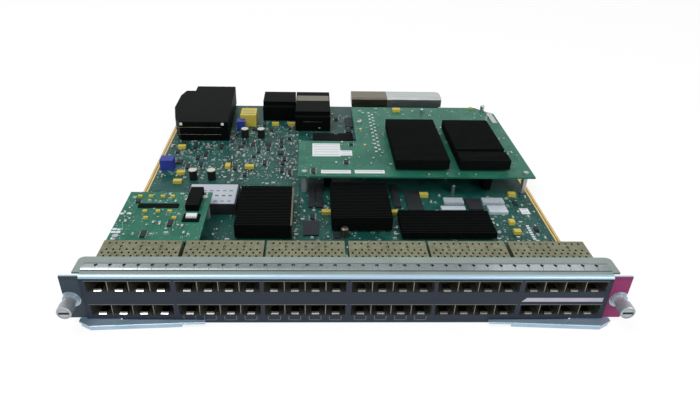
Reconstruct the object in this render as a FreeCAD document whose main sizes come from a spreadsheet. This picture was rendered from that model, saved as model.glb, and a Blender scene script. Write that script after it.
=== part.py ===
import FreeCAD, Part
import math
import os
import Sketcher
from FreeCAD import Placement, Rotation, Vector

# Switch line card: a bent steel front panel with two rows of 24 pluggable-transceiver ports,
# a main circuit board behind it, two raised daughter cards, heat sinks and backplane connectors.
# Frame: X to the right, Y away from the front panel, Z up; millimetres.
# Pieces are drawn with Y = 0 on the panel's front face, then moved by face_y, so that the
# origin is the middle of the card's footprint.

doc = FreeCAD.newDocument("SwitchLineCard")
sheet = doc.addObject("Spreadsheet::Sheet", "Sheet")

DIMENSIONS = {
    # panel
    "panel_high": 41.2,
    "panel_half": 182.0,
    "flange_half": 187.5,
    "flange_deep": 22.5,
    "sheet_thick": 1.4,
    "bend_radius": 2.4,
    "flange_corner": 4.0,
    "ear_half": 195.3,
    "ear_low": 4.4,
    "ear_top": 40.5,
    "ear_setback": 1.0,
    "lever_notch": 158.0,
    "film_thick": 0.3,
    # ports
    "port_pitch": 14.25,
    "port_high": 9.2,
    "low_row": 7.5,
    "row_pitch": 20.4,
    "wide_gap": 17.6,
    "narrow_gap": 16.5,
    "cage_thick": 0.4,
    "cage_deep": 48.0,
    # boards
    "board_top": 7.0,
    "board_thick": 2.0,
    "board_half": 185.0,
    "board_front": 3.0,
    "board_rear": 395.0,
    "card_top": 27.0,
    "card_thick": 1.6,
    "rear_reach": 404.0,
    "fabric_rear": 389.0,
    "bus_rear": 391.0,
    # captive screws
    "screw_x": 190.5,
    "screw_z": 20.5,
    "knob_radius": 5.2,
    "knob_reach": 14.0,
    "knob_long": 8.5,
    "stud_radius": 2.0,
    # ejector levers
    "pivot_x": 172.0,
    "pivot_y": 7.0,
    "pin_radius": 1.5,
    "lever_low": 0.4,
    "lever_plate": 2.6,
    "lever_high": 3.8,
}
# The foremost point is the screw knobs and the rearmost the backplane connectors.
DIMENSIONS["face_y"] = (DIMENSIONS["knob_reach"] - DIMENSIONS["rear_reach"]) / 2

for line, (alias, value) in enumerate(DIMENSIONS.items(), start=1):
    sheet.set(f"A{line}", alias)
    sheet.set(f"B{line}", str(value))
    sheet.setAlias(f"B{line}", alias)
doc.recompute()


def dim(alias):
    return float(getattr(sheet, alias))


parts = []


def keep(piece, label, y=0):
    """Name a finished sub-part and move it from the panel's face to the footprint's frame."""
    piece.Label = label
    piece.setExpression("Placement.Base.y", f"Sheet.face_y + {y}")
    parts.append(piece)
    return piece


def block(x, y, z, wide, deep, high):
    """A box from its low corner and its size; every value is a number or an expression."""
    box = doc.addObject("Part::Box", "Block")
    places = ("Placement.Base.x", "Placement.Base.y", "Placement.Base.z")
    for path, value in zip(places + ("Length", "Width", "Height"), (x, y, z, wide, deep, high)):
        box.setExpression(path, str(value))
    return box


def rod(x, y, z, radius, long, axis="z"):
    """A cylinder from the centre of its low end, along +Z or +Y."""
    cylinder = doc.addObject("Part::Cylinder", "Rod")
    if axis == "y":
        cylinder.Placement = Placement(Vector(), Rotation(Vector(1, 0, 0), -90))
    places = ("Placement.Base.x", "Placement.Base.y", "Placement.Base.z")
    for path, value in zip(places + ("Radius", "Height"), (x, y, z, radius, long)):
        cylinder.setExpression(path, str(value))
    return cylinder


def hexagon(x, y, z, radius, long, sides=6):
    """An upright bar with flat sides, from the centre of its low end, by its corners' radius."""
    bar = doc.addObject("Part::Prism", "Hexagon")
    bar.Polygon = sides
    places = ("Placement.Base.x", "Placement.Base.y", "Placement.Base.z")
    for path, value in zip(places + ("Circumradius", "Height"), (x, y, z, radius, long)):
        bar.setExpression(path, str(value))
    return bar


def cut(base, *tools):
    result = doc.addObject("Part::Cut", "Cut")
    result.Base = base
    result.Tool = tools[0] if len(tools) == 1 else fuse(*tools)
    return result


def fuse(*pieces):
    result = doc.addObject("Part::MultiFuse", "Fuse")
    result.Shapes = list(pieces)
    return result


def group(pieces):
    """Like pieces as separate solids of one sub-part."""
    result = doc.addObject("Part::Compound", "Group")
    result.Links = list(pieces)
    return result


def new_body(name):
    return doc.addObject("PartDesign::Body", name)


def sketch_on(body, plane, offset=0):
    """An empty sketch on one of the body's own origin planes, moved along the plane's normal."""
    sketch = body.newObject("Sketcher::SketchObject", "Sketch")
    origin_plane = [item for item in body.Origin.OriginFeatures if item.Role == plane][0]
    sketch.AttachmentSupport = [(origin_plane, "")]
    sketch.MapMode = "FlatFace"
    sketch.setExpression("AttachmentOffset.Base.z", str(offset))
    return sketch


def outline(sketch, corners):
    """A closed polygon whose corners are bound to expressions, each an (x, y) pair."""
    count = len(corners)
    points = [Vector(float(sheet_value(a)), float(sheet_value(b)), 0) for a, b in corners]
    first = sketch.GeometryCount
    for index in range(count):
        sketch.addGeometry(Part.LineSegment(points[index], points[(index + 1) % count]), False)
    for index in range(count):
        after = first + (index + 1) % count
        sketch.addConstraint(Sketcher.Constraint("Coincident", first + index, 2, after, 1))
    for index, corner in enumerate(corners):
        for kind, value, axis in (("DistanceX", corner[0], -2), ("DistanceY", corner[1], -1)):
            number = float(sheet_value(value))
            if abs(number) < 1e-9:
                sketch.addConstraint(Sketcher.Constraint("PointOnObject", first + index, 1, axis))
                continue
            where = sketch.addConstraint(Sketcher.Constraint(kind, -1, 1, first + index, 1, number))
            sketch.setExpression(f"Constraints[{where}]", str(value))


def sheet_value(expression):
    """The number that an expression on the sheet's cells gives."""
    if isinstance(expression, (int, float)):
        return expression
    return sheet.evalExpression(expression)


def rectangle(sketch, x0, y0, x1, y1):
    outline(sketch, [(x0, y0), (x1, y0), (x1, y1), (x0, y1)])


def ring(sketch, x, y, radius):
    centre = Vector(float(sheet_value(x)), float(sheet_value(y)), 0)
    size = float(sheet_value(radius))
    index = sketch.addGeometry(Part.Circle(centre, Vector(0, 0, 1), size), False)
    for kind, value in (("DistanceX", x), ("DistanceY", y)):
        where = sketch.addConstraint(Sketcher.Constraint(kind, -1, 1, index, 3, float(sheet_value(value))))
        sketch.setExpression(f"Constraints[{where}]", str(value))
    where = sketch.addConstraint(Sketcher.Constraint("Radius", index, size))
    sketch.setExpression(f"Constraints[{where}]", str(radius))


def pad(body, sketch, length, backwards=False, both_ways=False):
    feature = body.newObject("PartDesign::Pad", "Pad")
    feature.Profile = sketch
    feature.setExpression("Length", str(length))
    feature.Reversed = backwards
    feature.Midplane = both_ways
    sketch.Visibility = False
    return feature


def pocket(body, sketch, length, backwards=False, both_ways=False):
    """A pocket, checked to have taken material away."""
    doc.recompute()
    before = body.Shape.Volume
    feature = body.newObject("PartDesign::Pocket", "Pocket")
    feature.Profile = sketch
    feature.setExpression("Length", str(length))
    feature.Reversed = backwards
    feature.Midplane = both_ways
    doc.recompute()
    if body.Shape.Volume > before - 1e-6:
        raise RuntimeError(f"{feature.Name} in {body.Name} cuts nothing")
    return feature


def fillet_edges(body, radius, wanted):
    """Round the edges of the body's tip for which wanted(edge) holds."""
    doc.recompute()
    tip = body.Tip
    names = [f"Edge{number}" for number, edge in enumerate(tip.Shape.Edges, start=1) if wanted(edge)]
    feature = body.newObject("PartDesign::Fillet", "Fillet")
    feature.Base = (tip, names)
    feature.setExpression("Radius", str(radius))
    return feature


def upright_at(edge, x, y):
    """Whether an edge is vertical and stands at plan position x, y."""
    ends = [vertex.Point for vertex in edge.Vertexes]
    return len(ends) == 2 and all(abs(end.x - x) < 0.01 and abs(end.y - y) < 0.01 for end in ends)


# --- Port field: six groups of four columns, the gaps between groups alternate in width ---

GROUPS = 6
COLUMNS = 4
gaps = [dim("wide_gap"), dim("narrow_gap")]
group_step = [(COLUMNS - 1) * dim("port_pitch") + gaps[index % 2] for index in range(GROUPS - 1)]
half_span = (sum(group_step) + (COLUMNS - 1) * dim("port_pitch")) / 2
first_columns = [-half_span + sum(group_step[:index]) for index in range(GROUPS)]
group_centres = [x + (COLUMNS - 1) * dim("port_pitch") / 2 for x in first_columns]
column_centres = [x + column * dim("port_pitch") for x in first_columns for column in range(COLUMNS)]

CLEAR_HALF = "(2 * Sheet.port_pitch - Sheet.cage_thick / 2)"
ROWS = ("Sheet.low_row", "(Sheet.low_row + Sheet.row_pitch)")


def window_sketch(body, offset=0):
    """The twelve port windows, one for each group and row."""
    sketch = sketch_on(body, "XZ_Plane", offset)
    for centre in group_centres:
        for row in ROWS:
            rectangle(sketch, f"{centre} - {CLEAR_HALF}", row,
                      f"{centre} + {CLEAR_HALF}", f"{row} + Sheet.port_high")
    return sketch


BORE_RADIUS = 2.5
SEAT_CLEAR = 4.6


def front_panel():
    """Bent steel: the web with its windows, a rounded top bend, the gasket flange and two ears."""
    body = new_body("FrontPanel")
    web = sketch_on(body, "XZ_Plane")
    notch = "Sheet.lever_notch"
    outline(web, [
        (f"-{notch}", 0), (notch, 0), (notch, "Sheet.ear_low"),
        ("Sheet.panel_half", "Sheet.ear_low"), ("Sheet.panel_half", "Sheet.panel_high"),
        ("-Sheet.panel_half", "Sheet.panel_high"), ("-Sheet.panel_half", "Sheet.ear_low"),
        (f"-{notch}", "Sheet.ear_low"),
    ])
    pad(body, web, "Sheet.sheet_thick", backwards=True)
    shelf = sketch_on(body, "XY_Plane", "Sheet.panel_high - Sheet.sheet_thick")
    rectangle(shelf, "-Sheet.panel_half", 0, "Sheet.panel_half", "Sheet.flange_deep - 4")
    pad(body, shelf, "Sheet.sheet_thick")
    wide_shelf = sketch_on(body, "XY_Plane", "Sheet.panel_high - Sheet.sheet_thick")
    rectangle(wide_shelf, "-Sheet.flange_half", SEAT_CLEAR, "Sheet.flange_half", "Sheet.flange_deep")
    pad(body, wide_shelf, "Sheet.sheet_thick")
    ears = sketch_on(body, "XZ_Plane", "-Sheet.ear_setback")
    inner = "(Sheet.panel_half - 2)"
    for low, high in ((f"-Sheet.ear_half", f"-{inner}"), (inner, "Sheet.ear_half")):
        rectangle(ears, low, "Sheet.ear_low", high, "Sheet.ear_top")
    pad(body, ears, "Sheet.sheet_thick", backwards=True)
    pocket(body, window_sketch(body), "Sheet.sheet_thick * 2", both_ways=True)
    ferrule_holes = sketch_on(body, "XZ_Plane")
    for side in ("-Sheet.screw_x", "Sheet.screw_x"):
        ring(ferrule_holes, side, "Sheet.screw_z", BORE_RADIUS)
    pocket(body, ferrule_holes, 10, both_ways=True)
    fillet_edges(body, "Sheet.bend_radius", lambda edge: lies_along_x(edge, 0, dim("panel_high")))
    corners = [(side * dim("flange_half"), dim("flange_deep")) for side in (-1, 1)]
    fillet_edges(body, "Sheet.flange_corner",
                 lambda edge: any(upright_at(edge, x, y) for x, y in corners))
    return keep(body, "front_panel")


def lies_along_x(edge, y, z):
    """Whether an edge runs along X at height z and depth y."""
    ends = [vertex.Point for vertex in edge.Vertexes]
    return len(ends) == 2 and all(abs(end.y - y) < 0.01 and abs(end.z - z) < 0.01 for end in ends)


def face_film():
    """The dark printed film on the web, cut out round the windows and the lever notches."""
    body = new_body("FaceFilm")
    sketch = window_sketch(body)
    notch = "Sheet.lever_notch"
    top = "Sheet.panel_high - Sheet.bend_radius"
    outline(sketch, [
        (f"-{notch}", 0.6), (notch, 0.6), (notch, "Sheet.ear_low"),
        ("Sheet.panel_half", "Sheet.ear_low"), ("Sheet.panel_half", top),
        ("-Sheet.panel_half", top), ("-Sheet.panel_half", "Sheet.ear_low"),
        (f"-{notch}", "Sheet.ear_low"),
    ])
    pad(body, sketch, "Sheet.film_thick")
    return keep(body, "face_film")


def ear_film(side, name):
    """Coloured film on an ear, cleared round the captive screw so that bare metal shows."""
    low = "Sheet.panel_half + 0.1" if side > 0 else "-Sheet.ear_half"
    film = block(low, "Sheet.ear_setback - Sheet.film_thick", "Sheet.ear_low",
                 "Sheet.ear_half - Sheet.panel_half - 0.1", "Sheet.film_thick",
                 "Sheet.ear_top - Sheet.ear_low")
    clearing = rod(f"{side} * Sheet.screw_x", 0, "Sheet.screw_z", 6.8, 3, axis="y")
    return keep(cut(film, clearing), name)


FINGERS = 38
FINGER_PITCH = 9.6


def gasket():
    """Beryllium-copper finger strip: an arched spring cut into fingers that keep two rails."""
    body = new_body("Gasket")
    sketch = sketch_on(body, "YZ_Plane")
    metal = 0.25
    top = "Sheet.panel_high"
    arch = [(6.0, 0), (14.9, 0), (14.9, metal), (13.9, metal), (11.8, 1.1 + metal),
            (9.1, 1.1 + metal), (7.0, metal), (6.0, metal)]
    outline(sketch, [(y, f"{top} + {rise}") for y, rise in arch])
    pad(body, sketch, FINGERS * FINGER_PITCH, both_ways=True)
    under = sketch_on(body, "YZ_Plane")
    hollow = [(7.2, -0.5), (13.7, -0.5), (13.7, 0.05), (11.7, 1.1), (9.2, 1.1), (7.2, 0.05)]
    outline(under, [(y, f"{top} + {rise}") for y, rise in hollow])
    pocket(body, under, FINGERS * FINGER_PITCH + 2, both_ways=True)
    slot = sketch_on(body, "XY_Plane", top)
    first = -FINGERS * FINGER_PITCH / 2 + FINGER_PITCH
    rectangle(slot, first - 0.6, 7.2, first + 0.6, 13.4)
    gap = pocket(body, slot, 4, backwards=True)
    pattern = body.newObject("PartDesign::LinearPattern", "FingerGaps")
    pattern.Originals = [gap]
    x_axis = [item for item in body.Origin.OriginFeatures if item.Role == "X_Axis"][0]
    pattern.Direction = (x_axis, [""])
    pattern.Length = (FINGERS - 2) * FINGER_PITCH
    pattern.Occurrences = FINGERS - 1
    body.Tip = pattern
    return keep(body, "emi_gasket")


# --- Port cages: stamped and folded shells, divider plates, row separators, sockets ---

FLOOR = "Sheet.board_top"
CEILING = "(Sheet.low_row + Sheet.row_pitch + Sheet.port_high + 0.2)"
CAGE_FRONT = "(Sheet.sheet_thick + 0.05)"
SLOT_PLACES = (27.0, 39.5)


def cage_shell(number, centre):
    """A folded tin-plated shell, open at the front, with slots over its dividers."""
    half = f"({CLEAR_HALF} + Sheet.cage_thick)"
    outer = block(f"{centre} - {half}", CAGE_FRONT, FLOOR, f"2 * {half}",
                  f"Sheet.cage_deep - {CAGE_FRONT}", f"{CEILING} + Sheet.cage_thick - {FLOOR}")
    inner = block(f"{centre} - {CLEAR_HALF}", 0, f"{FLOOR} + Sheet.cage_thick",
                  f"2 * {CLEAR_HALF}", "Sheet.cage_deep - Sheet.cage_thick",
                  f"{CEILING} - {FLOOR} - Sheet.cage_thick")
    tail_opening = block(f"{centre} - {CLEAR_HALF}", 32.5, f"{FLOOR} - 1",
                         f"2 * {CLEAR_HALF}", "Sheet.cage_deep - 33.5", 2)
    slots = []
    for index in range(1, COLUMNS):
        x = f"{centre} + {index - COLUMNS / 2} * Sheet.port_pitch"
        for y in SLOT_PLACES:
            slots.append(block(f"{x} - 0.7", y, f"{CEILING} - 1", 1.4, 2.6, 3))
    return keep(cut(outer, inner, tail_opening, *slots), f"cage_shell_{number}")


def cage_dividers(number, centre):
    """The three upright plates between the four columns of a cage."""
    plates = []
    low = f"({FLOOR} + Sheet.cage_thick)"
    for index in range(1, COLUMNS):
        x = f"{centre} + {index - COLUMNS / 2} * Sheet.port_pitch - Sheet.cage_thick / 2"
        plate = block(x, CAGE_FRONT, low, "Sheet.cage_thick", "Sheet.cage_deep - 2.5",
                      f"{CEILING} - {low}")
        tabs = [block(x, 0.4, f"{row} + 0.1", "Sheet.cage_thick", 3, "Sheet.port_high - 0.2")
                for row in ROWS]
        plates.append(fuse(plate, *tabs))
    return keep(group(plates), f"cage_dividers_{number}")


def row_separators():
    """Folded channels between the rows: the low port's roof, a front web and the high port's floor."""
    channels = []
    low = "(Sheet.low_row + Sheet.port_high)"
    high = "(Sheet.row_pitch - Sheet.port_high)"
    wide = "(Sheet.port_pitch - Sheet.cage_thick)"
    for x in column_centres:
        outer = block(f"{x} - {wide} / 2", CAGE_FRONT, low, wide, 30, high)
        inner = block(f"{x} - {wide} / 2 - 1", f"{CAGE_FRONT} + Sheet.cage_thick",
                      f"{low} + Sheet.cage_thick", f"{wide} + 2", 40, f"{high} - 2 * Sheet.cage_thick")
        channels.append(cut(outer, inner))
    return keep(group(channels), "row_separators")


def port_sockets():
    """Stacked edge-card sockets at the back of each column, with a slot for each row's module."""
    sockets = []
    for x in column_centres:
        body = block(f"{x} - 5.9", 33, FLOOR, 11.8, 14, f"{CEILING} - {FLOOR} - 0.3")
        slots = [block(f"{x} - 4.7", 32, f"{row} + 4", 9.4, 7, 1.2) for row in ROWS]
        sockets.append(cut(body, *slots))
    return keep(group(sockets), "port_sockets")


def latch_tongues():
    """Sprung tongues at the mouth of each port, bent up from its floor to hold the module."""
    profile = [(0.3, 0.0), (9.0, 0.0), (2.2, 1.1)]
    tongues = []
    half = 2.6
    for x in column_centres:
        for row in (dim("low_row"), dim("low_row") + dim("row_pitch")):
            points = [Vector(x - half, y, row + 0.05 + rise) for y, rise in profile]
            face = Part.Face(Part.makePolygon(points + points[:1]))
            tongues.append(face.extrude(Vector(2 * half, 0, 0)))
    feature = doc.addObject("Part::Feature", "LatchTongues")
    feature.Shape = Part.makeCompound(tongues)
    return keep(feature, "latch_tongues")


# --- Captive screws: knob and stud in one, a lipped ferrule in the ear, and a spring ---

SKIRT_RADIUS = 4.6
FERRULE_RADIUS = 4.2
FERRULE_FLANGE = 5.6
FERRULE_REACH = 5.0
FLANGE_FRONT = -0.3
SPRING_WALL = 3.6
SPRING_SEAT = -0.2
LIP_RADIUS = 1.7
SHANK_RADIUS = 1.4
COLLAR_RADIUS = 2.15
COLLAR_START = 1.2
COLLAR_END = 2.3
STUD_START = 4.0
STUD_END = 12.0
KNOB_WALL = 3.0


def turned(name, profile, side):
    """A turned piece on a captive screw's axis, from its half-profile (radius, y)."""
    body = new_body(name)
    sketch = sketch_on(body, "XY_Plane")
    outline(sketch, profile)
    turn = body.newObject("PartDesign::Revolution", "Turn")
    turn.Profile = sketch
    turn.ReferenceAxis = (sketch, ["V_Axis"])
    turn.Angle = 360
    body.setExpression("Placement.Base.x", f"{side} * Sheet.screw_x")
    body.setExpression("Placement.Base.z", "Sheet.screw_z")
    return body


def captive_screw(side, name):
    """Knob, hollow skirt, undercut shank, collar and stud, turned in one."""
    front = "-Sheet.knob_reach"
    skirt = "(Sheet.knob_long - Sheet.knob_reach)"
    stud = "Sheet.stud_radius"
    body = turned("Screw" + name, [
        (0, front), ("Sheet.knob_radius", front), ("Sheet.knob_radius", skirt), (SKIRT_RADIUS, skirt),
        (SKIRT_RADIUS, f"{front} + {KNOB_WALL}"), (SHANK_RADIUS, f"{front} + {KNOB_WALL}"),
        (SHANK_RADIUS, COLLAR_START), (COLLAR_RADIUS, COLLAR_START), (COLLAR_RADIUS, COLLAR_END),
        (SHANK_RADIUS, COLLAR_END), (SHANK_RADIUS, STUD_START), (stud, STUD_START),
        (stud, STUD_END), (0, STUD_END),
    ], side)
    drive = sketch_on(body, "XZ_Plane", "Sheet.knob_reach")
    rectangle(drive, -2.6, -0.55, 2.6, 0.55)
    pocket(body, drive, 1.2)
    return keep(body, "captive_screw_" + name)


def screw_ferrules():
    """Flanged cups set on the ears: each seats its spring, and its lip stops the screw's collar."""
    seat = "(Sheet.ear_setback - 0.02)"
    cups = [turned("Ferrule", [
        (LIP_RADIUS, SPRING_SEAT), (SPRING_WALL, SPRING_SEAT), (SPRING_WALL, -FERRULE_REACH),
        (FERRULE_RADIUS, -FERRULE_REACH), (FERRULE_RADIUS, FLANGE_FRONT), (FERRULE_FLANGE, FLANGE_FRONT),
        (FERRULE_FLANGE, seat), (LIP_RADIUS, seat),
    ], side) for side in (-1, 1)]
    return keep(group(cups), "screw_ferrules")


SPRING_TURNS = 3
TURN_STEPS = 8
WIRE_HALF = 0.35
COIL_RADIUS = 2.85


def flat(*corners):
    return Part.Face(Part.makePolygon(corners + corners[:1]))


def screw_spring(side, name):
    """The square-wire coil spring that pushes a released captive screw forward."""
    end = -dim("knob_reach") + KNOB_WALL + WIRE_HALF + 0.02
    long = SPRING_SEAT - WIRE_HALF - 0.02 - end
    steps = SPRING_TURNS * TURN_STEPS
    near, far = COIL_RADIUS - WIRE_HALF, COIL_RADIUS + WIRE_HALF
    sections = []
    for step in range(steps + 1):
        angle = 2 * math.pi * step / TURN_STEPS
        across = Vector(math.cos(angle), 0, math.sin(angle))
        middle = Vector(0, long * step / steps, 0)
        sections.append([middle + across * reach + Vector(0, rise, 0) for reach, rise in (
            (near, -WIRE_HALF), (far, -WIRE_HALF), (far, WIRE_HALF), (near, WIRE_HALF))])
    faces = [flat(*sections[0]), flat(*sections[-1])]
    for before, after in zip(sections, sections[1:]):
        for corner in range(4):
            following = (corner + 1) % 4
            faces.append(flat(before[corner], before[following], after[following]))
            faces.append(flat(before[corner], after[following], after[corner]))
    wire = Part.Solid(Part.Shell(faces))
    if wire.Volume < 0:
        wire.reverse()
    feature = doc.addObject("Part::Feature", "Spring" + name)
    feature.Shape = wire
    feature.Placement = Placement(Vector(side * dim("screw_x"), 0, dim("screw_z")), Rotation())
    return keep(feature, "screw_spring_" + name, y=end)


# --- Ejector levers, their pivot pins and the brackets that hold panel and board together ---

def mirrored(points, side):
    return [(f"{side} * {x}" if isinstance(x, str) else side * x, y) for x, y in points]


def ejector_lever(side, name):
    """A folded steel lever: a plate with a down-turned front lip, a cam nose and a pivot tab."""
    body = new_body("Lever" + name)
    plan = [(187.5, -2.6), (178.0, -8.0), (116.0, -4.8), (100.0, -4.4), (100.0, -1.2), (158.5, -0.7),
            (162.0, 3.0), (166.5, 11.0), (176.5, 11.0), (180.0, 4.0), (187.5, 1.0)]
    plate = sketch_on(body, "XY_Plane", "Sheet.lever_plate")
    outline(plate, mirrored(plan, side))
    pad(body, plate, "Sheet.lever_high - Sheet.lever_plate")
    lip_plan = [(185.6, -3.7), (178.0, -8.0), (116.0, -4.8), (116.0, -3.6), (177.7, -6.8), (185.0, -2.6)]
    lip = sketch_on(body, "XY_Plane", "Sheet.lever_low")
    outline(lip, mirrored(lip_plan, side))
    pad(body, lip, "Sheet.lever_high - Sheet.lever_low")
    eye = sketch_on(body, "XY_Plane")
    ring(eye, f"{side} * Sheet.pivot_x", "Sheet.pivot_y", "Sheet.pin_radius + 0.08")
    pocket(body, eye, 10, backwards=True)
    fillet_edges(body, 0.9, lambda edge: front_top_edge(edge, side))
    return keep(body, "ejector_lever_" + name)


def front_top_edge(edge, side):
    """The lever's long top edge along its front, where the lip is bent down."""
    ends = sorted((abs(vertex.Point.x), vertex.Point.y, vertex.Point.z) for vertex in edge.Vertexes)
    if len(ends) != 2:
        return False
    wanted = ((116.0, -4.8), (178.0, -8.0))
    return all(abs(end[0] - x) < 0.01 and abs(end[1] - y) < 0.01 and end[2] > dim("lever_high") - 0.01
               for end, (x, y) in zip(ends, wanted))


def lever_pins():
    """Shouldered bolts: the hexagon head is under the lever and the shank is set in the bracket."""
    pins = []
    for side in (-1, 1):
        x = f"{side} * Sheet.pivot_x"
        head = hexagon(x, "Sheet.pivot_y", 1.1, 3.2, 1.3)
        shank = rod(x, "Sheet.pivot_y", 2.0, "Sheet.pin_radius", 3.0)
        pins.append(fuse(head, shank))
    return keep(group(pins), "lever_pins")


BRACKET_SCREWS = (18.0,)
BRACKET_SCREW_X = 181.7


def panel_bracket(side, name):
    """A bent bracket: its foot is under the board's corner and its lip is welded to the web."""
    def box_at(x0, y0, z0, wide, deep, high):
        return block(x0 if side > 0 else f"-({x0}) - {wide}", y0, z0, wide, deep, high)
    thick = 0.95
    low = "(Sheet.board_top - Sheet.board_thick - 1)"
    foot = box_at(161, 5, low, 25, 19.4, thick)
    neck = box_at(161, "Sheet.sheet_thick", low, 17.5, 5, thick)
    lip = box_at(161, "Sheet.sheet_thick", low, 17.5, 1.2, 2.9)
    holes = [rod(f"{side} * {BRACKET_SCREW_X}", y, 2, 1.3, 4) for y in BRACKET_SCREWS]
    pin_hole = rod(f"{side} * Sheet.pivot_x", "Sheet.pivot_y", 2, "Sheet.pin_radius", 4)
    return keep(cut(fuse(foot, neck, lip), pin_hole, *holes), "panel_bracket_" + name)


# --- Boards ---

STANDOFF_RADIUS = 3.0
FORWARDING_POSTS = ((-33, 178), (26, 297), (177, 178), (176, 318))
SIDE_POSTS = ((-178, 68), (-118, 129))


def main_board():
    """The main board: corner notches by the ears, chamfered rear corners, screw holes."""
    body = new_body("MainBoard")
    sketch = sketch_on(body, "XY_Plane", "Sheet.board_top - Sheet.board_thick")
    half, front, rear = "Sheet.board_half", "Sheet.board_front", "Sheet.board_rear"
    outline(sketch, [
        ("-(Sheet.board_half - 6)", front), ("Sheet.board_half - 6", front),
        ("Sheet.board_half - 6", "Sheet.board_front + 3"), (half, "Sheet.board_front + 3"),
        (half, "Sheet.board_rear - 5"), ("Sheet.board_half - 5", rear),
        ("-(Sheet.board_half - 5)", rear), ("-Sheet.board_half", "Sheet.board_rear - 5"),
        ("-Sheet.board_half", "Sheet.board_front + 3"),
        ("-(Sheet.board_half - 6)", "Sheet.board_front + 3"),
    ])
    pad(body, sketch, "Sheet.board_thick")
    holes = sketch_on(body, "XY_Plane", "Sheet.board_top - Sheet.board_thick")
    for side in (-1, 1):
        for y in BRACKET_SCREWS:
            ring(holes, side * BRACKET_SCREW_X, y, 1.3)
    pocket(body, holes, 10, backwards=True)
    return keep(body, "main_board")


def daughter_card(name, corners, posts, label):
    body = new_body(name)
    base = "Sheet.card_top - Sheet.card_thick"
    sketch = sketch_on(body, "XY_Plane", base)
    outline(sketch, corners)
    pad(body, sketch, "Sheet.card_thick")
    holes = sketch_on(body, "XY_Plane", base)
    for x, y in posts:
        ring(holes, x, y, 1.3)
    pocket(body, holes, 10, backwards=True)
    return keep(body, label)


FORWARDING_OUTLINE = [(-39, 170), (184, 170), (184, 326), (165, 343), (20, 343), (20, 248), (-39, 248)]
SIDE_OUTLINE = [(-184, 62), (-113, 62), (-113, 139), (-184, 139)]


def standoffs():
    """Hexagon posts, swaged into the main board, that carry the two raised cards."""
    long = "Sheet.card_top - Sheet.card_thick - Sheet.board_top"
    posts = [hexagon(x, y, "Sheet.board_top", STANDOFF_RADIUS, long)
             for x, y in FORWARDING_POSTS + SIDE_POSTS]
    return keep(group(posts), "standoffs")


def card_screws():
    """Hexagon-head screws through the raised cards, down to the tops of their posts."""
    screws = []
    for x, y in FORWARDING_POSTS + SIDE_POSTS:
        head = hexagon(x, y, "Sheet.card_top", 2.8, 1.5)
        shank = hexagon(x, y, "Sheet.card_top - Sheet.card_thick", 1.2, "Sheet.card_thick", sides=8)
        screws.append(fuse(head, shank))
    return keep(group(screws), "card_screws")


def bracket_screws():
    """Hexagon-head screws down through the board's front corners into the brackets."""
    screws = []
    under = "(Sheet.board_top - Sheet.board_thick)"
    for side in (-1, 1):
        for y in BRACKET_SCREWS:
            x = side * BRACKET_SCREW_X
            head = hexagon(x, y, "Sheet.board_top", 2.5, 1.3)
            shank = hexagon(x, y, f"{under} - 1", 1.2, "Sheet.board_thick + 1", sides=8)
            screws.append(fuse(head, shank))
    return keep(group(screws), "bracket_screws")


def mezzanine_connectors():
    """Board-to-board connectors under the two raised cards."""
    high = "Sheet.card_top - Sheet.card_thick - Sheet.board_top"
    places = ((-14, 186, 7, 52), (100, 296, 62, 7), (140, 182, 7, 60), (-170, 100, 50, 7))
    blocks = [block(x, y, "Sheet.board_top", wide, deep, high) for x, y, wide, deep in places]
    return keep(group(blocks), "mezzanine_connectors")


# --- Heat sinks, each with a base and thin fins running across the card ---

def heat_sink(x0, y0, wide, deep, low, high, fins, label, gap_at=None):
    """An extruded black sink: a base plate and fins along X, cut across by a gap if it has one."""
    body = new_body("Sink")
    base_high = 2.0
    across = sketch_on(body, "YZ_Plane", x0)
    pitch = deep / (fins - 0.5)
    fin = pitch / 2
    corners = [(y0, low), (y0 + deep, low)]
    for index in range(fins - 1, -1, -1):
        start = y0 + index * pitch
        corners += [(start + fin, high), (start, high)]
        if index > 0:
            corners += [(start, low + base_high), (start - pitch + fin, low + base_high)]
    outline(across, corners)
    pad(body, across, wide)
    if gap_at is not None:
        channel = sketch_on(body, "XY_Plane", low + base_high)
        rectangle(channel, x0 - 1, gap_at - 1.5, x0 + wide + 1, gap_at + 1.5)
        pocket(body, channel, 40, backwards=True)
    return keep(body, label)


CHIP_HIGH = 2.2


def chips(places, base, high, label):
    """Flat packages on a board, each given by its low corner and its plan size."""
    blocks = [block(x, y, base, wide, deep, high) for x, y, wide, deep in places]
    return keep(group(blocks), label)


# --- Backplane edge ---

def power_connector():
    """Moulded hood over the power contacts: stepped rear corner and a splayed front corner."""
    body = new_body("PowerHood")
    sketch = sketch_on(body, "XY_Plane", "Sheet.board_top")
    outline(sketch, [(-171, 290), (-118, 290), (-122, "Sheet.rear_reach"), (-169, "Sheet.rear_reach"),
                     (-169, 388), (-180, 388), (-184, 372), (-184, 334), (-178, 305)])
    pad(body, sketch, 22)
    fillet_edges(body, 1.2, lambda edge: edge.BoundBox.ZMin > dim("board_top") + 21.9)
    mouth = sketch_on(body, "XZ_Plane", "-Sheet.rear_reach")
    for index in range(4):
        rectangle(mouth, -165 + 10.5 * index, 12, -158 + 10.5 * index, 24)
    pocket(body, mouth, 12, backwards=True)
    return keep(body, "power_connector")


def fabric_connector(label, x0, wide, y0, top):
    """A moulded fabric connector with a lower front step and two mating cavities at the back."""
    rear = "Sheet.fabric_rear"
    body = block(x0, y0, "Sheet.board_top", wide, f"{rear} - {y0}", top - dim("board_top"))
    step = block(x0 - 1, y0 - 1, top - 4, wide + 2, 9, 6)
    cavity = [block(x0 + 3, f"{rear} - 12", low, wide - 6, 14, 6.5) for low in (9.5, 19)]
    return keep(cut(body, step, *cavity), label)


BUS_LEFT = 22
BUS_WIDE = 109
BUS_FLOOR = 18
BUS_TOP = 29


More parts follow.
